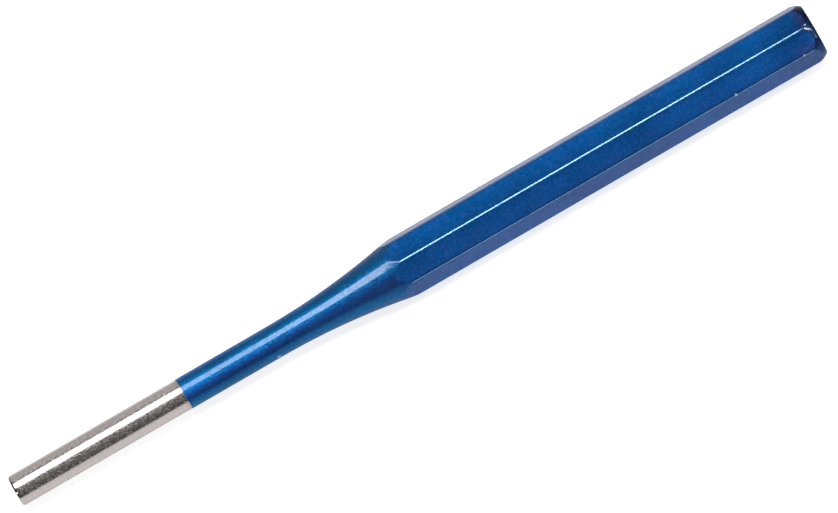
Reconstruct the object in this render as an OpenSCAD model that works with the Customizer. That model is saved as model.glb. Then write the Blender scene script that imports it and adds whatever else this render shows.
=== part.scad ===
// Pin punch: an octagonal steel bar with a swept neck and a round ground pin, under a blue lacquer film.
// It lies on one flat of its bar. +Z is up, and +X runs from the tip of the pin to the struck head.
// The origin is the middle of the punch's footprint, on the surface that it lies on.

/* [Overall] */
// Length of the finished punch, from the tip to the struck face
overall_l = 150; // [135:1:220]

/* [Pin] */
// Diameter of the bare ground pin
pin_d = 5.4; // [3:0.1:6.4]
// Length of the pin that the lacquer leaves bare
bare_l = 31.5; // [15:0.5:40]
// Radius of the rounded edge of the tip
tip_edge_r = 0.4; // [0.1:0.05:0.8]

/* [Neck] */
// Length of the slim lacquered shank between the bare pin and the neck
shank_l = 17.3; // [5:0.1:25]
// Diameter that the shank gains along that length
shank_draft = 0.04; // [0.02:0.02:0.3]
// Radius of the sweep that blends the shank into the bar
sweep_r = 120; // [40:5:160]

/* [Bar] */
// Width of the bare octagonal bar across its flats
across_flats = 9.62; // [8.5:0.02:12]
// Radius of the bar's eight long edges
edge_r = 0.4; // [0.3:0.05:1.2]

/* [Head] */
// Length of the turned crown at the struck end, along the bar's edges
crown_l = 1.8; // [0.8:0.1:3]
// Diameter of the flat struck face
struck_face_d = 8.6; // [6:0.1:8.8]
// Radius of the crown's rounded outline
crown_arc_r = 6; // [3:0.1:8]

/* [Lacquer] */
// Thickness of the lacquer film
film_t = 0.06; // [0.03:0.01:0.2]

/* [Hidden] */

$fn = 96;
// Facets on a full circle of the long sweep, and of the bar's small edge rounding
sweep_fn = 720;
edge_fn = 40;
// How far a cutting or trimming shape runs past what it trims
overrun = 1;
sides = 8;
half_corner = 180 / sides;

pin_r = pin_d / 2;
shank_r = (pin_d + shank_draft) / 2;
neck_start = bare_l + shank_l;
steel_l = overall_l - film_t;

// The long edges lie on circles about these centres, at this distance from the axis
edge_centre_r = (across_flats / 2 - edge_r) / cos(half_corner);
corner_r = edge_centre_r + edge_r;

// The crown's arc passes through the rim of the struck face and, crown_l lower, through the bar's edges
crown_drop = corner_r - struck_face_d / 2;
crown_chord = norm([crown_drop, crown_l]);
arc_reach = sqrt(pow(crown_arc_r, 2) - pow(crown_chord / 2, 2));
crown_centre = [
    corner_r - crown_drop / 2 - arc_reach * crown_l / crown_chord,
    steel_l - crown_l / 2 - arc_reach * crown_drop / crown_chord
];

steel_colour = [0.78, 0.77, 0.75];
lacquer_colour = [0.05, 0.27, 0.55];

// Across the bar: an octagon with rounded edges, grown on every side by a film
module octagon(film) {
    offset(r = edge_r + film, $fn = edge_fn)
        rotate(half_corner)
            circle(edge_centre_r, $fn = sides);
}

// Half outlines to revolve: x is the distance from the axis, and y the distance from the tip

module pin_outline() {
    square([pin_r - tip_edge_r, bare_l]);
    translate([0, tip_edge_r])
        square([pin_r, bare_l - tip_edge_r]);
    translate([pin_r - tip_edge_r, tip_edge_r])
        circle(tip_edge_r);
}

module shank_outline(film) {
    polygon([
        [0, bare_l],
        [pin_r + film, bare_l],
        [shank_r + film, neck_start],
        [0, neck_start]
    ]);
}

// A round blank that clears the bar's edges, turned to the swept neck at one end and to the crown at the other
module turned_outline(film) {
    difference() {
        translate([0, neck_start])
            square([corner_r + film + overrun, steel_l + film - neck_start]);
        translate([shank_r + sweep_r, neck_start])
            circle(sweep_r - film, $fn = sweep_fn);
        translate(crown_centre)
            difference() {
                square(crown_arc_r + film + 2 * overrun);
                circle(crown_arc_r + film);
            }
    }
}

// The bar: turned at both ends, and octagonal wherever turning didn't reach its flats
module bar(film) {
    intersection() {
        rotate_extrude()
            turned_outline(film);
        translate([0, 0, neck_start - overrun])
            linear_extrude(overall_l - neck_start + 2 * overrun)
                octagon(film);
    }
}

// Everything that the lacquer covers, grown by a film
module covered_body(film) {
    rotate_extrude()
        shank_outline(film);
    bar(film);
}

// From the punch's own axis, tip at zero, to where it lies
module laid_down() {
    translate([-overall_l / 2, 0, across_flats / 2 + film_t])
        rotate([0, 90, 0])
            children();
}

// One forging: pin, shank, neck, bar and crowned head
module steel_punch() {
    color(steel_colour)
        laid_down()
            union() {
                rotate_extrude()
                    pin_outline();
                covered_body(0);
            }
}

// The film over the head, the bar, the neck and the shank, down to the line where the bare pin starts
module lacquer_coat() {
    color(lacquer_colour)
        laid_down()
            difference() {
                covered_body(film_t);
                covered_body(0);
            }
}

steel_punch();
lacquer_coat();
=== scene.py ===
"""Pin punch: a ground steel bar and pin under blue metallic lacquer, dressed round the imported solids.

Lengths are in metres, in the punch's own frame: +X runs from the tip to the struck head and +Z is up.
"""

import itertools
import math

import bmesh
import bpy
from bpy.props import FloatProperty, FloatVectorProperty, PointerProperty
from mathutils import Matrix, Vector


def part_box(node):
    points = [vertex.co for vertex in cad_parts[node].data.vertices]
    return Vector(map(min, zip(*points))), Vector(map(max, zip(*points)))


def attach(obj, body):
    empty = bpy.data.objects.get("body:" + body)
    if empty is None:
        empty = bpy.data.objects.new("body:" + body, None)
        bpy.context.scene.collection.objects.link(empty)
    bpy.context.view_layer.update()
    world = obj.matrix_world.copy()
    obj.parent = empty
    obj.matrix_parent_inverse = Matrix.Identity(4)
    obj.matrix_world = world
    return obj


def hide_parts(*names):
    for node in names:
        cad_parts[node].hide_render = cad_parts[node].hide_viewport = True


bl_info = {
    "name": "Pin punch",
    "version": (1, 0, 0),
    "blender": (4, 5, 0),
    "location": "3D View > Sidebar > Punch",
    "description": "Builds a lacquered pin punch, its steel and the table it lies on",
    "category": "Add Mesh",
}

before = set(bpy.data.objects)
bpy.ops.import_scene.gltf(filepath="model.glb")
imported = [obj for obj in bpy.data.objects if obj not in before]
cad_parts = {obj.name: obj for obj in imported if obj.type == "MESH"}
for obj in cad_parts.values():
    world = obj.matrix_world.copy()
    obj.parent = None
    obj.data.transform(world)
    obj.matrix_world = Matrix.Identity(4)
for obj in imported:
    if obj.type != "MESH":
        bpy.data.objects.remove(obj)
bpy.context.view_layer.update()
STEEL_LOW, STEEL_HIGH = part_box("steel_punch")
COAT_LOW, COAT_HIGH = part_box("lacquer_coat")
TIP = STEEL_LOW.x
PAINT_LINE = COAT_LOW.x
STRUCK_FACE = COAT_HIGH.x

MM = 0.001
SIDES = 8
HALF_CORNER = math.pi / SIDES
QUARTER_TURN = math.pi / 2

# Rings of the mesh in each stretch of the punch, from the paint line to the middle of the struck face
RINGS = {
    "lip_side": 2,
    "shank": 14,
    "neck": 44,
    "neck_crease": 10,
    "flats": 24,
    "crown_crease": 6,
    "crown": 14,
    "rim": 5,
    "face": 3,
}
# Rings of the stretches that only the steel has, from the middle of the tip to the paint line
PIN_RINGS = {"tip": 4, "tip_edge": 10, "tip_side": 2, "pin": 30}
LIP_RINGS = 6
# Columns of the mesh on half a rounded edge and across one flat, and for the whole of one side
EDGE_COLUMNS = 5
FLAT_COLUMNS = 14
SIDE_COLUMNS = 2 * EDGE_COLUMNS + FLAT_COLUMNS
MERGE_DISTANCE = 0.001 * MM
# Half the length that gets close rings at each crease, in widths of that crease
NECK_ROOM = 8
CROWN_ROOM = 5
# How far the flat would stand above the turned surface where turning starts to count, and counts in full
TURNED_MARGIN = (-0.02 * MM, 0.06 * MM)
# The lacquer's edge wanders in one slow wave round the pin and in quick ones: half of what each adds at its
# most, as a share, how far on the slow one starts, in radians, and how many quick ones there are
SLOW_WAVE = 0.35
SLOW_WAVE_TURN = 0.5
QUICK_WAVE = 0.15
QUICK_WAVE_COUNT = 4

# A Mix node's sockets for colours share their names with others, so they go by number
MIX_LOW = 6
MIX_HIGH = 7
MIX_RESULT = 2
# Noise and the flecks' random colours lie round this value
NOISE_MIDDLE = 0.5

# Steel: rings from grinding and haze, in cells of noise per metre along the punch and across it
RING_CELLS = (9000, 700, 700)
HAZE_CELLS = (2200, 4100, 4100)
# The haze's noise where the metal starts to be dull and where it is dullest, and how dull that is
HAZE_NOISE = (0.48, 0.61)
HAZE_SHARE = 0.58
DULL_PALER = 1.25
# How far from the tip the haze starts to clear and is gone, and the share of the roughness that is left there
TIP_CLEARS = (0.9 * MM, 0.5 * MM)
TIP_ROUGHNESS = 0.5
STAIN_LENGTH = 0.6 * MM
GRAIN_IN_COLOUR = 0.3
GRAIN_IN_ROUGHNESS = 0.12
BUMP_STRENGTH = 0.15
BUMP_HEIGHT = 0.006 * MM
CLOUD_IN_BUMP = 0.5
GRAIN_IN_BUMP = 0.7

# Lacquer: flecks of flake per metre, and how far each tilts the surface
FLECKS = 9000
FLECK_TILT = 0.35
CLEAR_COAT_IOR = 1.6

# Looks that start and become full by how high the surface faces, where 1 is up and 0 is level
TOP_FLAT = (0.85, 0.95)
UNDERSIDE = (0.45, 0.25)
UPPER_EDGE = (0.5, 0.9)
UPPER_EDGE_METAL = (0.5, 0.7)
LOWER_EDGE = (0.392, 0.382)
LOWER_EDGE_BREAKS = (0.7, 0.5)
CROWN_SHADE_UP = (0.72, 0.9)
GLOSS_DOWN_FLATS = (0.95, 0.3)
GLOSS_UP_TURNED = (0.35, 0.60)
# Looks that lie in a band, by the same measure: where it starts, is full, starts to go and has gone
LOW_NECK_SHADE = (0.30, 0.45, 0.78, 0.90)
SHANK_PAINTED_SHEEN = (0.50, 0.70, 0.77, 0.96)
SHANK_DULL = (0.66, 0.74, 0.87, 0.91)
FRONT_FLAT = (0.5, 0.6, 0.8, 0.95)
FRONT_FLAT_FOOT = (0.375, 0.39, 0.43, 0.48)
SHADE_LINE = (0.375, 0.39, 0.45, 0.5)
LOW_HEAD_TINT = (0.40, 0.45, 0.55, 0.70)
# Looks by how far the surface faces the camera's side, where 1 is level towards it and -1 is level away
ACROSS_TOP = (-0.38, 0.38)
EDGE_HIGHLIGHT_FRONT = (-0.1, 0.3)
TURNED_GLOSS_FRONT = (0.0, 0.09)
BACK_GLOSS = (-0.45, -0.6)
# Looks by how near an edge the surface is, where 1 is at its middle and 0 is on the flats
SHADE_LINE_EDGE = (0.0, 0.3)
METAL_EDGE = (0.0, 0.4)
# The power by which the painted edge highlight falls off from the middle of an edge
EDGE_FALL = 1.5
# Looks by the place along the punch, from the paint line or from the struck face
SHANK_STRETCH = (PAINT_LINE + 38.5 * MM, PAINT_LINE + 13.5 * MM)
HEADWARD = (STRUCK_FACE - 65 * MM, STRUCK_FACE - 15 * MM)
EDGE_HIGHLIGHT_HEADWARD = (STRUCK_FACE - 23 * MM, STRUCK_FACE - 5 * MM)
HEAD_DIP = (STRUCK_FACE - 9 * MM, STRUCK_FACE - 4.5 * MM)
HEAD_DIP_ENDS = (STRUCK_FACE - 2.8 * MM, STRUCK_FACE - 1.8 * MM)
LOW_HEAD_TINT_STRETCH = (STRUCK_FACE - 5.4 * MM, STRUCK_FACE - 3.6 * MM)
CROWN_STRETCH = (STRUCK_FACE - 5 * MM, STRUCK_FACE - 3 * MM)
UPPER_EDGE_ENDS = (STRUCK_FACE - 3.2 * MM, STRUCK_FACE - 1.6 * MM)
TOP_SHADE_STRETCH = (STRUCK_FACE - 2.8 * MM, STRUCK_FACE - 1 * MM)
# How much looks lighten or darken the lacquer, the first three on the flats and then on turned surfaces
MOTTLE_LIGHT = (0.7, 1.1)
SPECKLE_LIGHT = (0.3, 0.7)
# Painted light from below on the undersides
UNDERSIDE_LIGHT = (0.22, 0.1)
DRIFT_LIGHT = 0.6
# Painted light and painted shade on the top flat, the front flat and the head
TOP_BACK_LIGHT = 0.12
TOP_FRONT_SHADE = 0.33
TOP_HEAD_SHADE = 0.10
FRONT_HEAD_LIGHT = 0.12
FRONT_FOOT_SHADE = 0.24
CROWN_SHADE = 0.35
HEAD_DIP_SHADE = 0.18
# How fully other colours cover the blue, the first on the flats and then on turned surfaces
FLUSH_SHARE = (0.25, 0.1)
# The rest are painted shade, a purple tint near the head and a painted highlight on the edges
CROWN_SHADE_SHARE = 0.7
HEAD_SHADE_SHARE = 0.75
CROWN_SHADE_UP_SHARE = 0.7
LOW_HEAD_TINT_SHARE = 0.4
SHADE_LINE_SHARE = 0.55
EDGE_HIGHLIGHT_SHARE = 0.9
# What is left of the painted edge highlight at the head, and how much of it the breaks in it leave and add
EDGE_HIGHLIGHT_AT_HEAD = 0.75
EDGE_HIGHLIGHT_BREAKS = (0.75, 1.1)
# How much smoother the flake is under the painted edge highlight, and how much the mottle changes the finish
EDGE_HIGHLIGHT_SMOOTHER = 0.3
MOTTLE_IN_ROUGHNESS = 0.12
MOTTLE_IN_GLOSS = 0.8
# How glossy the clear coat is: on the flats from the top down and from the back, and on turned surfaces
FLAT_GLOSS = (0.20, 0.55)
BACK_GLOSS_MOST = 0.93
SHANK_GLOSS = 0.72
SHANK_DULL_SHARE = 0.6
TURNED_GLOSS_LEAST = 0.12
# Noise for the purple patches and for the breaks in the painted edge highlight: where each starts and is
# full, and a step aside in the noise, so that neither follows the mottle
FLUSH_NOISE = (0.45, 0.75)
FLUSH_ASIDE = (1, 0, 0)
BREAK_NOISE = (0.35, 0.65)
BREAK_ASIDE = (2, 0, 0)
# Fine slanting strokes on the flats: how close they lie, end to end and side by side, per metre, the noise
# where one starts and is full, how pale it is, and how much darker the rest gets in return
STROKES_LENGTHWISE = 900
STROKES_SIDEWAYS = 4200
STROKE_NOISE = (0.56, 0.64)
STROKE_LIGHT = 0.36
STROKE_SHADE = 0.035
# The step to the second set of strokes, and the radius at which they are spaced
OTHER_STROKES = 0.1
STROKE_RADIUS = 5 * MM
# Small chips, low on the front of the shank and on the bar's lower front edge: their middles and radii
CHIPS = (
    ((PAINT_LINE + 16.63 * MM, -2.75 * MM, 4.43 * MM), 0.30 * MM),
    ((STRUCK_FACE - 16.45 * MM, -4.85 * MM, 6.87 * MM), 0.24 * MM),
    ((STRUCK_FACE - 3.66 * MM, -4.85 * MM, 6.87 * MM), 0.24 * MM),
)
# A chip's rim, in radii from its middle, how far its outline strays, and how fully it covers
CHIP_RIM_OUTSIDE = 1.2
CHIP_RIM_INSIDE = 0.8
CHIP_STRAYS = 0.5 * MM
CHIP_SHARE = 0.8

# The overhead light's front and back edges, in degrees from level on the camera's side, up and over, and
# where its two ends are along the punch
SOFTBOX_SPAN = (75, 107.7)
SOFTBOX_REACH = (-0.30, 0.45)
SOFTBOX_HEIGHT = 0.8
SOFTBOX_RADIANCE = 6.0
LAMP_DISTANCE = 1.5
# Strip lamps that glint on the ends: the ways from the punch to each one's two ends, its width and radiance
SIDE_LAMPS = {
    "Tip lamp": (Vector((-0.86, -0.45, 0.25)), Vector((-0.86, -0.38, 0.31)), 0.22, 70.0),
    "Head lamp": (Vector((0.87, -0.23, 0.44)), Vector((0.66, -0.14, 0.74)), 0.08, 20.0),
    "Low head lamp": (Vector((0.85, -0.52, 0.07)), Vector((0.87, -0.23, 0.44)), 0.08, 3.0),
    "Small head lamp": (Vector((0.77, 0.07, 0.64)), Vector((0.70, 0.07, 0.71)), 0.05, 20.0),
}
# The room's greys by direction, each at its share of the half turn from the camera's side over to the back
ROOM_BANDS = (
    (0.0, 0.05),
    (0.12, 0.12),
    (0.22, 0.17),
    (0.40, 0.17),
    (0.70, 0.25),
    (0.74, 0.60),
    (1.0, 0.60),
)
# It is dark beyond the punch's ends: where that starts and is complete, as the sine of the turn to an end
ROOM_ENDS = (0.35, 0.65)
ROOM_END_LIGHT = 0.1
TABLE_HALF = 3.0
TABLE_ROUGHNESS = 0.9
# Where the white card ends, on the camera's side of the punch and beyond its ends, and how softly
CARD_FRONT = -56 * MM
CARD_END = STRUCK_FACE + 10 * MM
CARD_FADE = 10 * MM
CARD_GREY = 0.6
BENCH_GREY = 0.1
# The white that the camera also sees on the card and on the bench, and that a reflection sees on the card as
# far as some way behind the punch
CARD_SEEN = 0.72
BENCH_SEEN = 1.0
CARD_REFLECTED = 0.18
CARD_REFLECTED_BACK = (70 * MM, 60 * MM)
# The camera's sensor, in millimetres, and the nearest and farthest that it sees
SENSOR_WIDTH = 36.0
CLIP_START = 0.01
CLIP_END = 20


class Term:
    """A socket's value. Python's operators on it add the Math nodes that work it out."""

    def __init__(self, graph, socket):
        self.graph = graph
        self.socket = socket

    def maths(self, operation, *others, first=None):
        values = [self if first is None else first, *others]
        return self.graph.term("ShaderNodeMath", {"operation": operation}, dict(enumerate(values)))

    def __add__(self, other):
        return self.maths("ADD", other)

    def __sub__(self, other):
        return self.maths("SUBTRACT", other)

    def __mul__(self, other):
        return self.maths("MULTIPLY", other)

    def __truediv__(self, other):
        return self.maths("DIVIDE", other)

    def __pow__(self, other):
        return self.maths("POWER", other)

    def __gt__(self, other):
        return self.maths("GREATER_THAN", other)

    __radd__ = __add__
    __rmul__ = __mul__

    def __rsub__(self, other):
        return self.maths("SUBTRACT", self, first=other)

    def __rtruediv__(self, other):
        return self.maths("DIVIDE", self, first=other)

    def __neg__(self):
        return self * -1

    def __abs__(self):
        return self.maths("ABSOLUTE")

    def squared(self):
        return self * self

    def root(self):
        return self.maths("SQRT")

    def floor(self):
        return self.maths("FLOOR")

    def sine(self):
        return self.maths("SINE")

    def cosine(self):
        return self.maths("COSINE")

    def arccosine(self):
        return self.maths("ARCCOSINE")

    def at_least(self, other):
        return self.maths("MAXIMUM", other)

    def at_most(self, other):
        return self.maths("MINIMUM", other)

    def soft_min(self, other, width):
        return self.maths("SMOOTH_MIN", other, width)

    def share(self, start, end):
        """How far this value is from start to end, held between 0 and 1."""
        return self.graph.term(
            "ShaderNodeMapRange",
            {"clamp": True},
            {"Value": self, "From Min": start, "From Max": end},
        )

    def band(self, starts, full, goes, gone):
        """1 from full to goes, and down to 0 at the two ends."""
        return self.share(starts, full) * self.share(gone, goes)

    def blend(self, low, high):
        """low where this value is 0, and high where it is 1."""
        return low + self * (high - low)


class Graph:
    """One node tree under construction."""

    def __init__(self, tree):
        self.tree = tree

    def node(self, kind, settings=None, sockets=None):
        """A node of that kind. Its settings are set before its sockets get their values or links."""
        made = self.tree.nodes.new(kind)
        for name, value in (settings or {}).items():
            if name == "stops":
                self.set_stops(made.color_ramp, value)
            else:
                setattr(made, name, value)
        for key, value in (sockets or {}).items():
            if isinstance(value, Term):
                self.tree.links.new(value.socket, made.inputs[key])
            else:
                made.inputs[key].default_value = value
        return made

    def term(self, kind, settings=None, sockets=None, output=0):
        return Term(self, self.node(kind, settings, sockets).outputs[output])

    @staticmethod
    def set_stops(ramp, stops):
        while len(ramp.elements) < len(stops):
            ramp.elements.new(1)
        for element, (place, colour) in zip(ramp.elements, stops):
            element.position = place
            element.color = colour

    def mix_colour(self, factor, low, high):
        sockets = {0: factor, MIX_LOW: low, MIX_HIGH: high}
        return self.term("ShaderNodeMix", {"data_type": "RGBA"}, sockets, MIX_RESULT)

    def vector_maths(self, operation, *values, output=0):
        settings = {"operation": operation}
        return self.term("ShaderNodeVectorMath", settings, dict(enumerate(values)), output)

    def scaled(self, vector, scale):
        """A vector or a colour times one number."""
        return self.term("ShaderNodeVectorMath", {"operation": "SCALE"}, {0: vector, "Scale": scale})

    def object_place(self):
        """Object coordinates, which are places in the punch's own frame."""
        return self.term("ShaderNodeTexCoord", None, None, "Object")

    def parts(self, vector):
        """Its three components."""
        made = self.node("ShaderNodeSeparateXYZ", None, {0: vector})
        return [Term(self, socket) for socket in made.outputs]

    def mark(self, name):
        """A value that the mesh keeps under that name."""
        return self.term("ShaderNodeAttribute", {"attribute_name": name}, None, "Fac")

    def noise(self, place, scale, detail, roughness):
        sockets = {"Vector": place, "Scale": scale, "Detail": detail, "Roughness": roughness}
        return self.term("ShaderNodeTexNoise", None, sockets)

    def strokes(self, along, around):
        """Noise drawn out into short strokes that slant, given the places along the bar and round it."""
        sockets = {0: (along + around) * STROKES_LENGTHWISE, 1: (along - around) * STROKES_SIDEWAYS}
        place = self.term("ShaderNodeCombineXYZ", None, sockets)
        return self.noise(place, scale=1.0, detail=2.0, roughness=0.5)


def length_property(name, words, millimetres):
    return FloatProperty(
        name=name,
        description=words,
        default=millimetres * MM,
        unit="LENGTH",
        subtype="DISTANCE",
        precision=5,
    )


def angle_property(name, words, degrees):
    return FloatProperty(name=name, description=words, default=math.radians(degrees), subtype="ANGLE")


def share_property(name, words, share):
    return FloatProperty(name=name, description=words, default=share, subtype="FACTOR")


def colour_property(name, words, colour):
    return FloatVectorProperty(name=name, description=words, default=colour, subtype="COLOR", size=3)


class PunchSizes(bpy.types.PropertyGroup):
    """Sizes of the punch. The solids give the outer ones, and most others repeat the source's own values.

    The rim, the lip, the paint wave, the side and the creases are finer than the solids and stand only here.
    """

    overall: length_property("Overall length", "From the tip to the struck face", (STRUCK_FACE - TIP) / MM)
    bare: length_property("Bare length", "From the tip to the lacquer's edge", (PAINT_LINE - TIP) / MM)
    film: length_property("Film", "Thickness of the lacquer", (COAT_HIGH.z - STEEL_HIGH.z) / MM)
    flats: length_property("Across flats", "Width of the bare bar", (STEEL_HIGH.z - STEEL_LOW.z) / MM)
    edge: length_property("Edge radius", "Radius of the bar's eight long edges", 0.40)
    pin: length_property("Pin radius", "Radius of the bare ground pin", 2.7)
    draft: length_property("Draft", "Radius that the shank gains from the pin to the neck", 0.02)
    shank: length_property("Shank length", "Slim lacquered stretch before the neck", 17.3)
    sweep: length_property("Sweep radius", "Radius of the neck's long curve", 120)
    crown: length_property("Crown length", "Turned stretch at the head, along the edges", 1.8)
    crown_arc: length_property("Crown radius", "Radius of the crown's rounded outline", 6)
    face: length_property("Face radius", "Radius of the flat struck face", 4.3)
    rim: length_property("Rim radius", "Rounding between the crown and the struck face", 0.15)
    tip_edge: length_property("Tip edge", "Radius of the rounded edge of the tip", 0.40)
    lip: length_property("Lip", "Rounding of the lacquer's edge, along the pin", 0.05)
    paint_wave: length_property("Paint wave", "How far the lacquer's edge wanders along the pin", 0.30)
    side: length_property("Side", "Close ring beside a rounding, which keeps the next surface flat", 0.04)
    neck_crease: length_property("Neck crease", "How softly the neck runs into the flats", 0.1)
    crown_crease: length_property("Crown crease", "How softly the crown cuts the flats", 0.05)


class LacquerLook(bpy.types.PropertyGroup):
    """Colours and finish of the lacquer, with the colours of painted shade and of a painted highlight."""

    colour: colour_property("Blue", "Lacquer on the flats", (0.002, 0.066, 0.256))
    # Painted shade: a darker copy of the blue, for the topmost flat
    top: colour_property("Top blue", "Lacquer on the topmost flat", (0.0, 0.066, 0.236))
    turned_colour: colour_property("Turned blue", "Lacquer on the neck and crown", (0.0, 0.102, 0.275))
    # Painted shade: the darker blue low on the neck and on the crown
    shaded_blue: colour_property("Deep blue", "Lacquer low on the neck and on the crown", (0.008, 0.069, 0.275))
    flush: colour_property("Flush", "Faint purple patches", (0.045, 0.070, 0.28))
    # Painted shade: darker purple on the head
    head_shade: colour_property("Bruise", "Darker purple patches on the head", (0.035, 0.030, 0.12))
    # Painted highlight: pale blue along the edges on the camera's side
    edge: colour_property("Edge", "Pale blue where it is thin on an edge", (0.30, 0.62, 0.90))
    chip: colour_property("Chip", "Undercoat that the small chips lay bare", (0.40, 0.49, 0.60))
    flat_flake: share_property("Flake on flats", "Share of metal flake on the flats", 0.3)
    turned_flake: share_property("Flake on turned", "Share of metal flake on the neck and crown", 1.0)
    roughness: share_property("Roughness", "Spread of the flake's gloss", 0.45)
    coat_roughness: share_property("Coat roughness", "Spread of the top coat's gloss", 0.10)


class SteelLook(bpy.types.PropertyGroup):
    """Colours and finish of the ground steel."""

    colour: colour_property("Steel", "Colour of the ground steel", (0.55, 0.505, 0.49))
    tint: colour_property("Tint", "Brown stain at the lacquer's edge", (0.45, 0.33, 0.24))
    roughness: share_property("Roughness", "Spread of its gloss", 0.19)
    dull_roughness: share_property("Dull roughness", "Spread of the gloss where haze dulls it", 0.46)


class StageLook(bpy.types.PropertyGroup):
    """Where the camera stands."""

    elevation: angle_property("Elevation", "Camera's height above the table", 56.5)
    azimuth: angle_property("Azimuth", "Camera's turn towards the tip", 0)
    roll: angle_property("Roll", "Turn of the picture", 30.07)
    lens: FloatProperty(name="Lens", description="Focal length", default=450, subtype="DISTANCE_CAMERA")
    view_width: length_property("View width", "Width of the picture at the punch", 136.2)
    aside: length_property("Aside", "How far right of the punch the camera aims", 0.70)
    above: length_property("Above", "How far above the punch the camera aims", 0.62)


def titles(sizes):
    """What each size is called in the panel and on the trees' inputs, by its name in this script."""
    return {key: prop.name for key, prop in sizes.bl_rna.properties.items() if prop.type == "FLOAT"}


def interface_inputs(graph, sizes):
    """An input of the tree for each size, as a term."""
    for title in titles(sizes).values():
        graph.tree.interface.new_socket(name=title, in_out="INPUT", socket_type="NodeSocketFloat")
    made = graph.node("NodeGroupInput")
    return {key: Term(graph, made.outputs[title]) for key, title in titles(sizes).items()}


def across_bar(u, size, film):
    """The bar's outline where u goes once round it: radius, angle, and how near an edge it is."""
    edge_share = EDGE_COLUMNS / SIDE_COLUMNS
    side = (u * SIDES).floor()
    place = u * SIDES - side
    turn = HALF_CORNER * (place.share(1 - edge_share, 1) + place.share(0, edge_share) - 1)
    centre_out = size["flats"] / 2 - size["edge"]
    centre_along = centre_out * math.tan(HALF_CORNER)
    along = centre_along * (2 * place.share(edge_share, 1 - edge_share) - 1)
    out = centre_out + (size["edge"] + film) * turn.cosine()
    along = along + (size["edge"] + film) * turn.sine()
    radius = (out.squared() + along.squared()).root()
    angle = side * (2 * HALF_CORNER) + along.maths("ARCTAN2", out)
    return radius, angle, abs(turn) / HALF_CORNER


def crown_centre(size):
    """Centre of the arc through the rim of the struck face and the bar's edges: along the punch, then out."""
    steel_end = size["overall"] - size["film"]
    corner = (size["flats"] / 2 - size["edge"]) / math.cos(HALF_CORNER) + size["edge"]
    drop = corner - size["face"]
    chord = (drop.squared() + size["crown"].squared()).root()
    reach = (size["crown_arc"].squared() - (chord / 2).squared()).root()
    out = corner - drop / 2 - reach * size["crown"] / chord
    along = steel_end - size["crown"] / 2 - reach * drop / chord
    return along, out


def past(ring, last):
    """1 on the rings after that one, and 0 up to it."""
    half_ring = 0.5
    return ring > last + half_ring


def lacquered_profile(ring, flat_radius, size, film, paint_line):
    """The punch at a ring, counted from the paint line to the middle of the struck face.

    Gives the distance along it, its radius, and 1 where turning shaped it or 0 on a flat.
    """
    ends = list(itertools.accumulate(RINGS.values()))
    crown_crease, crown, rim, face = ends[-4:]

    neck_start = size["bare"] + size["shank"]
    sweep_centre = size["pin"] + size["draft"] + size["sweep"]
    sweep = size["sweep"] - film
    meets_flats = neck_start + (sweep.squared() - (sweep_centre - flat_radius).squared()).root()
    arc_along, arc_out = crown_centre(size)
    arc = size["crown_arc"] + film
    leaves_flats = arc_along + (arc.squared() - (flat_radius - arc_out).squared()).root()
    neck_room = NECK_ROOM * size["neck_crease"]
    crown_room = CROWN_ROOM * size["crown_crease"]

    stations = [
        paint_line,
        paint_line + size["side"],
        neck_start,
        meets_flats - neck_room,
        meets_flats + neck_room,
        leaves_flats - crown_room,
        leaves_flats + crown_room,
    ]
    along = stations[0]
    first = 0
    for last, before, after in zip(ends, stations, stations[1:]):
        along = along + ring.share(first, last) * (after - before)
        first = last

    drafted = 1 - along.share(size["bare"], neck_start)
    swept = sweep_centre - (sweep.squared() - (along - neck_start).at_least(0).squared()).root()
    crowned = arc_out + (arc.squared() - (along - arc_along).at_least(0).squared()).root()
    turned = (flat_radius - swept.at_most(crowned)).share(*TURNED_MARGIN)
    radius = (swept - size["draft"] * drafted).soft_min(flat_radius, size["neck_crease"])
    radius = radius.soft_min(crowned, size["crown_crease"])

    # The crown's arc, then the small rounding inside it that ends square to the face
    end = size["overall"] - size["film"] + film
    rim_along = end - size["rim"]
    rim_out = arc_out + ((arc - size["rim"]).squared() - (rim_along - arc_along).squared()).root()
    start_turn = ((stations[-1] - arc_along) / arc).arccosine()
    end_turn = (rim_out - arc_out).maths("ARCTAN2", rim_along - arc_along)
    crown_turn = ring.share(crown_crease, crown).blend(start_turn, end_turn)
    rim_turn = end_turn * (1 - ring.share(crown, rim))

    on_crown = past(ring, crown_crease)
    on_rim = past(ring, crown)
    on_face = past(ring, rim)
    along = on_crown.blend(along, arc_along + arc * crown_turn.cosine())
    radius = on_crown.blend(radius, arc_out + arc * crown_turn.sine())
    along = on_rim.blend(along, rim_along + size["rim"] * rim_turn.cosine())
    radius = on_rim.blend(radius, rim_out + size["rim"] * rim_turn.sine())
    along = on_face.blend(along, end)
    radius = on_face.blend(radius, rim_out * (1 - ring.share(rim, face)))
    return along, radius, turned.at_least(on_crown)


def pin_profile(ring, size, paint_line):
    """Distance along the punch and radius at a ring, counted from the middle of the tip to the paint line."""
    tip, tip_edge, tip_side, pin = itertools.accumulate(PIN_RINGS.values())
    over_tip = ring.share(0, tip)
    turn = ring.share(tip, tip_edge) * QUARTER_TURN
    along = size["tip_edge"] * (1 - turn.cosine())
    along = along + ring.share(tip_edge, tip_side) * size["side"]
    along = along + ring.share(tip_side, pin) * (paint_line - size["tip_edge"] - size["side"])
    radius = over_tip * (size["pin"] - size["tip_edge"]) + size["tip_edge"] * turn.sine()
    return along, radius


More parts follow.
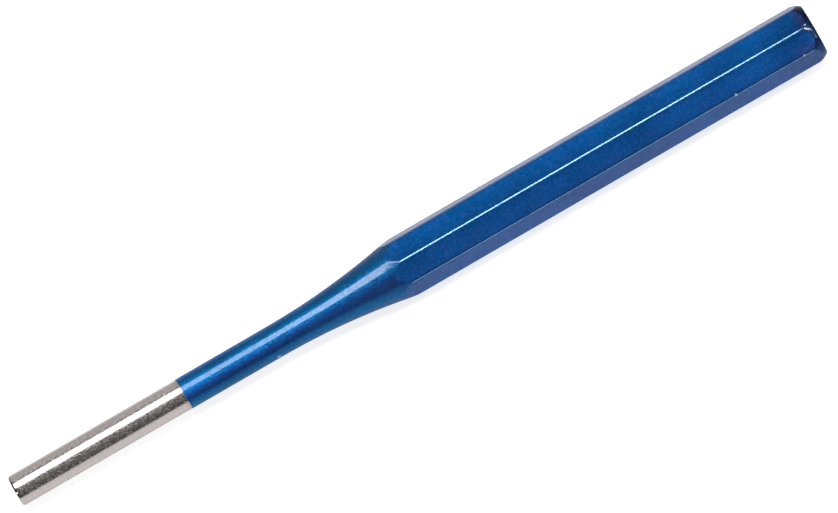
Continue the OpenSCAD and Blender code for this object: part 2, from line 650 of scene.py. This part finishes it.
def rings_and_columns(graph, ring_count):
    """A flat grid with a column for each step round the punch, u, which goes once round, and the ring."""
    counts = {"Vertices X": SIDES * SIDE_COLUMNS + 1, "Vertices Y": ring_count + 1}
    grid = graph.term("GeometryNodeMeshGrid", None, {"Size X": 1, "Size Y": 1, **counts})
    half_grid = 0.5
    across, up, _ = graph.parts(graph.term("GeometryNodeInputPosition"))
    ring = ((up + half_grid) * ring_count).maths("ROUND")
    return grid, across + half_grid, ring


def wrap_grid(graph, grid, along, radius, angle, size, material, marks=()):
    """Bends the grid round the axis, lays it down, closes its seam and poles, and gives it its material.

    Marks are pairs of a name and a value, which the mesh keeps for the material to read.
    """
    for name, value in marks:
        kept = {"Geometry": grid, "Name": name, "Value": value}
        grid = graph.term("GeometryNodeStoreNamedAttribute", None, kept)
    axis_height = size["flats"] / 2 + size["film"]
    coordinates = {
        0: along - size["overall"] / 2,
        1: -(radius * angle.sine()),
        2: axis_height + radius * angle.cosine(),
    }
    place = graph.term("ShaderNodeCombineXYZ", None, coordinates)
    bent = graph.term("GeometryNodeSetPosition", None, {"Geometry": grid, "Position": place})
    merge = {"Geometry": bent, "Distance": MERGE_DISTANCE}
    closed = graph.term("GeometryNodeMergeByDistance", None, merge)
    smooth = graph.term("GeometryNodeSetShadeSmooth", None, {"Geometry": closed})
    real = graph.term("GeometryNodeRealizeInstances", None, {"Geometry": smooth})
    done = graph.term("GeometryNodeSetMaterial", None, {"Geometry": real, "Material": material})
    graph.tree.interface.new_socket(name="Geometry", in_out="OUTPUT", socket_type="NodeSocketGeometry")
    graph.node("NodeGroupOutput", None, {0: done})


def steel_tree(sizes, material):
    """The steel, from the middle of the tip to the middle of the struck face."""
    graph = Graph(bpy.data.node_groups.new("Ground steel bar", "GeometryNodeTree"))
    size = interface_inputs(graph, sizes)
    pin_rings = sum(PIN_RINGS.values())
    grid, u, ring = rings_and_columns(graph, pin_rings + sum(RINGS.values()))
    flat_radius, angle, _ = across_bar(u, size, 0)
    bar_along, bar_radius, _ = lacquered_profile(ring - pin_rings, flat_radius, size, 0, size["bare"])
    pin_along, pin_radius = pin_profile(ring, size, size["bare"])
    on_bar = past(ring, pin_rings)
    along = on_bar.blend(pin_along, bar_along)
    radius = on_bar.blend(pin_radius, bar_radius)
    wrap_grid(graph, grid, along, radius, angle, size, material)
    return graph.tree


def lacquer_tree(sizes, material):
    """The film's inner face from the struck face back to the paint line, its lip, and its outer face."""
    graph = Graph(bpy.data.node_groups.new("Lacquer film", "GeometryNodeTree"))
    size = interface_inputs(graph, sizes)
    rings = sum(RINGS.values())
    grid, u, row = rings_and_columns(graph, 2 * rings + LIP_RINGS)
    inner = rings - row
    outer = row - rings - LIP_RINGS
    ring = inner.at_least(outer).at_least(0)
    lip_turn = (row - rings).share(0, LIP_RINGS) * QUARTER_TURN
    film = size["film"] * lip_turn.sine()
    flat_radius, angle, edge = across_bar(u, size, film)
    wave = SLOW_WAVE * (1 + (angle + SLOW_WAVE_TURN).sine())
    wave = wave + QUICK_WAVE * (1 + (QUICK_WAVE_COUNT * angle).cosine())
    paint_line = size["bare"] + size["paint_wave"] * wave + size["lip"] * (1 - lip_turn.cosine())
    along, radius, turned = lacquered_profile(ring, flat_radius, size, film, paint_line)
    marks = (
        ("turned", turned),
        ("edge", edge * (1 - turned)),
        ("lift", angle.cosine()),
        ("front", angle.sine()),
    )
    wrap_grid(graph, grid, along, radius, angle, size, material, marks)
    return graph.tree


def grown(name, tree, sizes):
    """The plain mesh that a tree makes with these sizes, as an object at the origin."""
    mesh = bpy.data.meshes.new(name)
    carrier = bpy.data.objects.new(name + ".grower", mesh)
    bpy.context.scene.collection.objects.link(carrier)
    modifier = carrier.modifiers.new("Grow", "NODES")
    modifier.node_group = tree
    values = {title: getattr(sizes, key) for key, title in titles(sizes).items()}
    for item in tree.interface.items_tree:
        if item.in_out == "INPUT":
            modifier[item.identifier] = values[item.name]
    bpy.context.view_layer.update()
    evaluated = carrier.evaluated_get(bpy.context.evaluated_depsgraph_get())
    grown_mesh = bpy.data.meshes.new_from_object(evaluated)
    bpy.data.objects.remove(carrier)
    bpy.data.meshes.remove(mesh)
    grown_mesh.name = name
    piece = bpy.data.objects.new(name, grown_mesh)
    bpy.context.scene.collection.objects.link(piece)
    check_closed(piece)
    return piece


def check_closed(piece):
    """Stops if a mesh is open or inside out."""
    work = bmesh.new()
    work.from_mesh(piece.data)
    loose = [edge for edge in work.edges if not edge.is_manifold]
    volume = work.calc_volume(signed=True)
    work.free()
    if loose or volume <= 0:
        raise RuntimeError(f"{piece.name}: {len(loose)} open edges, volume {volume}")


def new_material(name):
    material = bpy.data.materials.new(name)
    material.use_nodes = True
    material.node_tree.nodes.clear()
    return material, Graph(material.node_tree)


def opaque(colour):
    return (*colour, 1)


def grey(level):
    return (level, level, level, 1)


def steel_material(look):
    """Ground steel: bright metal mixed with duller haze, fine rings and grain, and a stain at the lacquer."""
    material, graph = new_material("Ground steel")
    place = graph.object_place()
    along = graph.parts(place)[0]
    ring_place = graph.vector_maths("MULTIPLY", place, RING_CELLS)
    rings = graph.noise(ring_place, scale=1.0, detail=3.0, roughness=0.6)
    cloud = graph.noise(place, scale=1800, detail=3.0, roughness=0.6)
    grain = graph.noise(place, scale=6000, detail=3.0, roughness=0.65) - NOISE_MIDDLE
    haze_place = graph.vector_maths("MULTIPLY", place, HAZE_CELLS)
    haze = graph.noise(haze_place, scale=1.0, detail=3.0, roughness=0.7).share(*HAZE_NOISE)
    near_tip = (along - TIP).share(*TIP_CLEARS)

    stain = along.share(PAINT_LINE - STAIN_LENGTH, PAINT_LINE) * cloud
    colour = graph.mix_colour(stain, opaque(look.colour), opaque(look.tint))
    colour = graph.scaled(colour, 1 + GRAIN_IN_COLOUR * grain)
    roughness = (look.roughness + GRAIN_IN_ROUGHNESS * grain) * near_tip.blend(1, TIP_ROUGHNESS)
    height = rings + CLOUD_IN_BUMP * cloud + GRAIN_IN_BUMP * grain
    relief = {"Strength": BUMP_STRENGTH, "Distance": BUMP_HEIGHT, "Height": height}
    bump = graph.term("ShaderNodeBump", None, relief)
    bright = graph.term(
        "ShaderNodeBsdfPrincipled",
        None,
        {"Base Color": colour, "Metallic": 1.0, "Roughness": roughness, "Normal": bump},
    )
    dull = graph.term(
        "ShaderNodeBsdfPrincipled",
        None,
        {
            "Base Color": graph.scaled(colour, DULL_PALER),
            "Metallic": 1.0,
            "Roughness": look.dull_roughness,
            "Normal": bump,
        },
    )
    dullness = haze * near_tip.blend(HAZE_SHARE, 0)
    shader = graph.term("ShaderNodeMixShader", None, {0: dullness, 1: bright, 2: dull})
    graph.node("ShaderNodeOutputMaterial", None, {0: shader})
    return material


class LacquerPlaces:
    """What the lacquer's looks follow: the place, the marks that its mesh keeps, and a shared noise."""

    def __init__(self, graph):
        self.place = graph.object_place()
        self.along = graph.parts(self.place)[0]
        self.turned = graph.mark("turned")
        self.flat = 1 - self.turned
        self.lift = graph.mark("lift")
        self.front = graph.mark("front")
        self.edge = graph.mark("edge")
        self.mottle = graph.noise(self.place, scale=2200, detail=3.0, roughness=0.65) - NOISE_MIDDLE
        self.upward = self.lift.share(*TOP_FLAT)
        self.shankward = self.along.share(*SHANK_STRETCH)
        self.top_flat = self.upward * self.flat
        self.front_flat = self.lift.band(*FRONT_FLAT) * self.flat
        self.crown = self.turned * self.along.share(*CROWN_STRETCH)


def flake_normal(graph, at):
    """The surface's direction, tilted a little and differently by each fleck of flake."""
    cells = {"Vector": at.place, "Scale": FLECKS}
    fleck = graph.term("ShaderNodeTexVoronoi", {"feature": "F1"}, cells, "Color")
    tilt = graph.vector_maths("SUBTRACT", fleck, (NOISE_MIDDLE, NOISE_MIDDLE, NOISE_MIDDLE))
    normal = graph.term("ShaderNodeNewGeometry", None, None, "Normal")
    return graph.vector_maths("NORMALIZE", graph.vector_maths("ADD", normal, graph.scaled(tilt, FLECK_TILT)))


def body_colour(graph, look, at):
    """Blue with painted shade: darker on the top flat, deeper low on the neck and on the crown, darker purple
    on the head, with purple patches and a purple tint near the head.
    """
    colour = graph.mix_colour(at.upward, opaque(look.colour), opaque(look.top))
    colour = graph.mix_colour(at.turned, colour, opaque(look.turned_colour))
    # Painted shade low on the neck and on the crown
    low_neck_shade = at.turned * at.lift.band(*LOW_NECK_SHADE)
    colour = graph.mix_colour(low_neck_shade, colour, opaque(look.shaded_blue))
    flush_place = graph.vector_maths("ADD", at.place, FLUSH_ASIDE)
    flush = graph.noise(flush_place, scale=1300, detail=3.0, roughness=0.6).share(*FLUSH_NOISE)
    colour = graph.mix_colour(at.turned.blend(*FLUSH_SHARE) * flush, colour, opaque(look.flush))
    colour = graph.mix_colour(CROWN_SHADE_SHARE * at.crown, colour, opaque(look.shaded_blue))
    # Painted shade on the top flat near the head and on the upper crown
    head_shade = at.top_flat * at.along.share(*TOP_SHADE_STRETCH)
    head_shade = head_shade + CROWN_SHADE_UP_SHARE * at.crown * at.lift.share(*CROWN_SHADE_UP)
    colour = graph.mix_colour(HEAD_SHADE_SHARE * head_shade, colour, opaque(look.head_shade))
    # A purple tint low on the front flat near the head
    low_head_tint = at.flat * at.lift.band(*LOW_HEAD_TINT) * at.along.share(*LOW_HEAD_TINT_STRETCH)
    return graph.mix_colour(LOW_HEAD_TINT_SHARE * low_head_tint, colour, opaque(look.flush))


def body_light(graph, at):
    """What the lacquer's colour is multiplied by: uneven tone, strokes, and broad stretches of painted light
    and painted shade.
    """
    speckle = graph.noise(at.place, scale=6500, detail=2.0, roughness=0.6) - NOISE_MIDDLE
    drift = graph.noise(at.place, scale=130, detail=2.0, roughness=0.5) - NOISE_MIDDLE
    light = 1 + at.turned.blend(*MOTTLE_LIGHT) * at.mottle
    light = light + at.turned.blend(*SPECKLE_LIGHT) * speckle + DRIFT_LIGHT * drift
    # The second set of strokes slants the other way, and comes from another part of the noise
    around = at.front.maths("ARCTAN2", at.lift) * STROKE_RADIUS
    for way in (around, OTHER_STROKES - around):
        stroke = graph.strokes(at.along, way).share(*STROKE_NOISE)
        light = light + at.flat * (STROKE_LIGHT * stroke - STROKE_SHADE)

    # Painted sheen on the front of the turned shank, and painted light from below on the undersides
    painted_sheen = at.turned * at.lift.band(*SHANK_PAINTED_SHEEN) * at.shankward
    light = light * (1 + painted_sheen + at.turned.blend(*UNDERSIDE_LIGHT) * at.lift.share(*UNDERSIDE))
    # Painted light and shade across the top flat, towards the head on the front flat, at the foot of the
    # front flat, on the crown and in a dip before the head
    headward = at.along.share(*HEADWARD)
    across_top = TOP_BACK_LIGHT - TOP_FRONT_SHADE * at.front.share(*ACROSS_TOP)
    across_top = across_top - TOP_HEAD_SHADE * headward
    light = light * (1 + at.top_flat * across_top)
    light = light * (1 + FRONT_HEAD_LIGHT * at.front_flat * headward)
    light = light * (1 - FRONT_FOOT_SHADE * at.flat * at.lift.band(*FRONT_FLAT_FOOT))
    dip = at.along.share(*HEAD_DIP) * (1 - at.front_flat * at.along.share(*HEAD_DIP_ENDS))
    return light * (1 - CROWN_SHADE * at.crown) * (1 - HEAD_DIP_SHADE * dip)


def painted_edge_highlight(graph, at):
    """Painted highlight on the edges: most on those on the camera's side, and uneven on the lower one."""
    on_edges = at.lift.share(*UPPER_EDGE) + at.lift.share(*LOWER_EDGE)
    edge_highlight = (at.edge ** EDGE_FALL) * at.front.share(*EDGE_HIGHLIGHT_FRONT) * on_edges
    edge_highlight = edge_highlight * at.along.share(*EDGE_HIGHLIGHT_HEADWARD).blend(1, EDGE_HIGHLIGHT_AT_HEAD)
    edge_highlight = edge_highlight * (1 - at.along.share(*UPPER_EDGE_ENDS) * at.lift.share(*UPPER_EDGE))
    break_place = graph.vector_maths("ADD", at.place, BREAK_ASIDE)
    breaks = graph.noise(break_place, scale=900, detail=2.0, roughness=0.6).share(*BREAK_NOISE)
    return edge_highlight * at.lift.share(*LOWER_EDGE_BREAKS).blend(1, breaks.blend(*EDGE_HIGHLIGHT_BREAKS))


def coat_gloss(at):
    """How strongly the clear coat shines."""
    flat = at.lift.share(*GLOSS_DOWN_FLATS).blend(*FLAT_GLOSS)
    flat = flat.at_least(BACK_GLOSS_MOST * at.front.share(*BACK_GLOSS))
    turned = at.lift.share(*GLOSS_UP_TURNED) * at.front.share(*TURNED_GLOSS_FRONT)
    turned = turned * at.shankward.blend(1, SHANK_GLOSS)
    turned = turned * (1 - SHANK_DULL_SHARE * at.lift.band(*SHANK_DULL))
    return at.turned.blend(flat, turned.at_least(TURNED_GLOSS_LEAST)) * (1 + MOTTLE_IN_GLOSS * at.mottle)


def lacquer_material(look):
    """Blue metallic lacquer: fine flake under a clear top coat, with painted shade, a painted highlight on
    the edges and a few small chips.
    """
    material, graph = new_material("Blue lacquer")
    at = LacquerPlaces(graph)
    edge_highlight = painted_edge_highlight(graph, at)
    colour = graph.scaled(body_colour(graph, look, at), body_light(graph, at))
    # Painted shade: a dark line on the rounding above the lower front edge
    shade_line = at.edge.share(*SHADE_LINE_EDGE) * at.lift.band(*SHADE_LINE)
    colour = graph.mix_colour(SHADE_LINE_SHARE * shade_line, colour, grey(0))
    # Painted highlight along the edges on the camera's side
    colour = graph.mix_colour(EDGE_HIGHLIGHT_SHARE * edge_highlight, colour, opaque(look.edge))
    for middle, radius in CHIPS:
        reach = graph.vector_maths("DISTANCE", at.place, middle, output="Value")
        reach = reach + CHIP_STRAYS * at.mottle
        chip = reach.share(CHIP_RIM_OUTSIDE * radius, CHIP_RIM_INSIDE * radius)
        colour = graph.mix_colour(CHIP_SHARE * chip, colour, opaque(look.chip))

    metal_edge = at.edge.share(*METAL_EDGE) * at.lift.share(*UPPER_EDGE_METAL)
    shader = graph.term(
        "ShaderNodeBsdfPrincipled",
        None,
        {
            "Base Color": colour,
            "Metallic": at.turned.blend(look.flat_flake, look.turned_flake).at_least(metal_edge),
            "Roughness": (look.roughness + MOTTLE_IN_ROUGHNESS * at.mottle) * (1 - EDGE_HIGHLIGHT_SMOOTHER * edge_highlight),
            "Normal": flake_normal(graph, at),
            "Specular IOR Level": 0.0,
            "Coat Weight": coat_gloss(at).at_least(edge_highlight),
            "Coat Roughness": look.coat_roughness,
            "Coat IOR": CLEAR_COAT_IOR,
        },
    )
    graph.node("ShaderNodeOutputMaterial", None, {0: shader})
    return material


def floor_material():
    """A white card that ends in front of the punch, on a dark bench that the camera sees as white too."""
    material, graph = new_material("Pale table")
    lengthwise, across, _ = graph.parts(graph.object_place())
    card = across.share(CARD_FRONT - CARD_FADE, CARD_FRONT)
    card = card * abs(lengthwise).share(CARD_END + CARD_FADE, CARD_END)
    ray = graph.node("ShaderNodeLightPath")
    camera = Term(graph, ray.outputs["Is Camera Ray"])
    glossy = Term(graph, ray.outputs["Is Glossy Ray"])
    seen = camera * card.blend(BENCH_SEEN, CARD_SEEN)
    seen = seen + glossy * card * across.share(*CARD_REFLECTED_BACK) * CARD_REFLECTED
    shader = graph.term(
        "ShaderNodeBsdfPrincipled",
        None,
        {
            "Base Color": graph.mix_colour(card, grey(BENCH_GREY), grey(CARD_GREY)),
            "Roughness": TABLE_ROUGHNESS,
            "Specular IOR Level": 0.0,
            "Emission Color": graph.mix_colour(seen, grey(0), grey(1)),
            "Emission Strength": 1.0,
        },
    )
    graph.node("ShaderNodeOutputMaterial", None, {0: shader})
    return material


class PUNCH_OT_steel(bpy.types.Operator):
    """Grow the steel bar with its neck, its ground pin and its crowned head"""

    bl_idname = "punch.steel"
    bl_label = "Steel bar"

    def execute(self, context):
        sizes = context.scene.punch_sizes
        material = steel_material(context.scene.punch_steel)
        piece = grown("ground_steel_bar", steel_tree(sizes, material), sizes)
        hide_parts("steel_punch")
        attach(piece, "root")
        return {"FINISHED"}


class PUNCH_OT_lacquer(bpy.types.Operator):
    """Grow the film of lacquer over the bar, down to the paint line"""

    bl_idname = "punch.lacquer"
    bl_label = "Lacquer film"

    def execute(self, context):
        sizes = context.scene.punch_sizes
        material = lacquer_material(context.scene.punch_lacquer)
        piece = grown("blue_lacquer_film", lacquer_tree(sizes, material), sizes)
        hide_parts("lacquer_coat")
        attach(piece, "root")
        return {"FINISHED"}


class PUNCH_OT_stage(bpy.types.Operator):
    """Set the table, the soft overhead light, the small strip lamps, the room and the camera"""

    bl_idname = "punch.stage"
    bl_label = "Table, light and camera"

    def execute(self, context):
        add_floor()
        add_softbox()
        add_side_lamps()
        add_room()
        add_camera(context.scene.punch_stage)
        context.scene.view_settings.view_transform = "Standard"
        return {"FINISHED"}


def add_floor():
    low, high = -TABLE_HALF, TABLE_HALF
    corners = [(low, low, 0), (high, low, 0), (high, high, 0), (low, high, 0)]
    mesh = bpy.data.meshes.new("table")
    mesh.from_pydata(corners, [], [(0, 1, 2, 3)])
    mesh.materials.append(floor_material())
    floor = bpy.data.objects.new("table", mesh)
    bpy.context.scene.collection.objects.link(floor)


def add_panel(name, width, length, radiance, matrix):
    """A flat rectangular lamp."""
    light = bpy.data.lights.new(name, "AREA")
    light.shape = "RECTANGLE"
    light.size = width
    light.size_y = length
    light.energy = radiance * math.pi * width * length
    lamp = bpy.data.objects.new(name, light)
    lamp.matrix_world = matrix
    bpy.context.scene.collection.objects.link(lamp)


def add_softbox():
    """A wide soft light overhead, a little behind the punch."""
    front, back = (-SOFTBOX_HEIGHT / math.tan(math.radians(end)) for end in SOFTBOX_SPAN)
    left, right = SOFTBOX_REACH
    middle = Matrix.Translation(((left + right) / 2, (front + back) / 2, SOFTBOX_HEIGHT))
    add_panel("Softbox", right - left, back - front, SOFTBOX_RADIANCE, middle)


def add_side_lamps():
    """Strip lamps, each facing the punch."""
    for name, (start, end, width, radiance) in SIDE_LAMPS.items():
        start = start.normalized() * LAMP_DISTANCE
        end = end.normalized() * LAMP_DISTANCE
        outward = ((start + end) / 2).normalized()
        upward = (end - start).normalized()
        turn = Matrix((upward.cross(outward), upward, outward)).transposed().to_4x4()
        matrix = Matrix.Translation((start + end) / 2) @ turn
        add_panel(name, width * LAMP_DISTANCE, (end - start).length, radiance, matrix)


def add_room():
    """A room that is dark behind the camera and beyond the punch's ends, and paler behind the punch."""
    world = bpy.data.worlds.new("Room")
    world.use_nodes = True
    world.node_tree.nodes.clear()
    graph = Graph(world.node_tree)
    lengthwise, across, up = graph.parts(graph.term("ShaderNodeTexCoord"))
    stops = [(place, grey(level)) for place, level in ROOM_BANDS]
    rise = up.maths("ARCTAN2", -across) / math.pi
    light = graph.term("ShaderNodeValToRGB", {"stops": stops}, {0: rise})
    strength = abs(lengthwise).share(*ROOM_ENDS).blend(1.0, ROOM_END_LIGHT)
    shader = graph.term("ShaderNodeBackground", None, {"Color": light, "Strength": strength})
    graph.node("ShaderNodeOutputWorld", None, {0: shader})
    bpy.context.scene.world = world


def add_camera(look):
    distance = look.lens * look.view_width / SENSOR_WIDTH
    towards = Vector(
        (
            math.cos(look.elevation) * math.sin(look.azimuth),
            math.cos(look.elevation) * math.cos(look.azimuth),
            -math.sin(look.elevation),
        )
    )
    level = towards.cross(Vector((0, 0, 1))).normalized()
    upright = level.cross(towards)
    right = math.cos(look.roll) * level - math.sin(look.roll) * upright
    up = math.cos(look.roll) * upright + math.sin(look.roll) * level
    middle = Vector((0, 0, (COAT_LOW.z + COAT_HIGH.z) / 2))
    aim = middle + right * look.aside + up * look.above
    data = bpy.data.cameras.new("Camera")
    data.lens = look.lens
    data.sensor_width = SENSOR_WIDTH
    data.clip_start = CLIP_START
    data.clip_end = CLIP_END
    camera = bpy.data.objects.new("Camera", data)
    turn = Matrix((right, up, -towards)).transposed().to_4x4()
    camera.matrix_world = Matrix.Translation(aim - towards * distance) @ turn
    bpy.context.scene.collection.objects.link(camera)
    bpy.context.scene.camera = camera


class PUNCH_PT_build(bpy.types.Panel):
    """Lists the steps that build the punch"""

    bl_idname = "PUNCH_PT_build"
    bl_label = "Pin punch"
    bl_space_type = "VIEW_3D"
    bl_region_type = "UI"
    bl_category = "Punch"

    def draw(self, context):
        for step in STEPS:
            self.layout.operator(step.bl_idname)


GROUPS = {
    "punch_sizes": PunchSizes,
    "punch_lacquer": LacquerLook,
    "punch_steel": SteelLook,
    "punch_stage": StageLook,
}
STEPS = (PUNCH_OT_stage, PUNCH_OT_steel, PUNCH_OT_lacquer)


def register():
    for group in (*GROUPS.values(), *STEPS, PUNCH_PT_build):
        bpy.utils.register_class(group)
    for name, group in GROUPS.items():
        setattr(bpy.types.Scene, name, PointerProperty(type=group))


def unregister():
    for name in GROUPS:
        delattr(bpy.types.Scene, name)
    for group in (*GROUPS.values(), *STEPS, PUNCH_PT_build):
        bpy.utils.unregister_class(group)


def main():
    register()
    bpy.ops.punch.stage()
    bpy.ops.punch.steel()
    bpy.ops.punch.lacquer()


if __name__ == "__main__":
    main()
